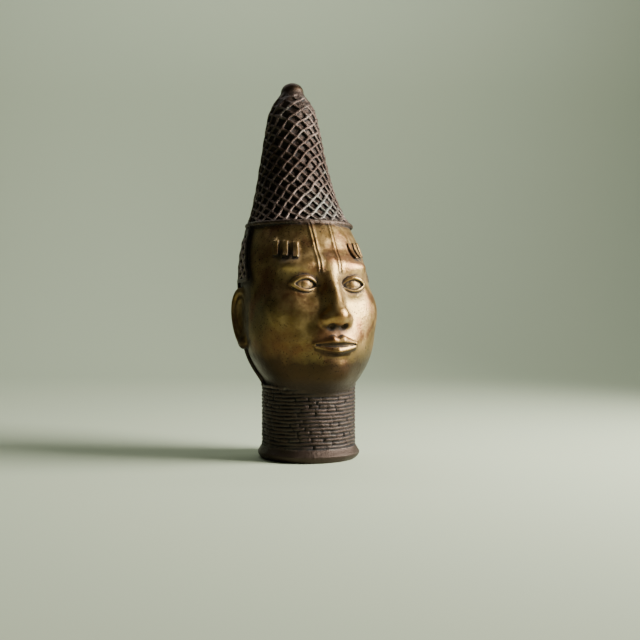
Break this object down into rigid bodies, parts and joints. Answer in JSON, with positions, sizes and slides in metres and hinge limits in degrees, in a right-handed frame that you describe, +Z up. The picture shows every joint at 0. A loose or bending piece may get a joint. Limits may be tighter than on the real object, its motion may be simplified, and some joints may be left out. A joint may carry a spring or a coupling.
{
  "type": "cast bronze head",
  "caption": "Cast bronze head with a tall leaning net cap, a hair net behind the ears, a ringed collar and a flared foot, standing by its own weight.",
  "frame": {"origin": "centre of the foot's flat underside, on the collar's centre line", "axes": "+Z up, the face looks towards -Y, +X is the head's own left side"},
  "size_m": [0.1876, 0.2212, 0.5],
  "materials": {
    "bronze": "worn golden brown patina on the face, darker in the net and the collar"
  },
  "bodies": {
    "root": {"bronze_head": "bronze"}
  },
  "joints": []
}
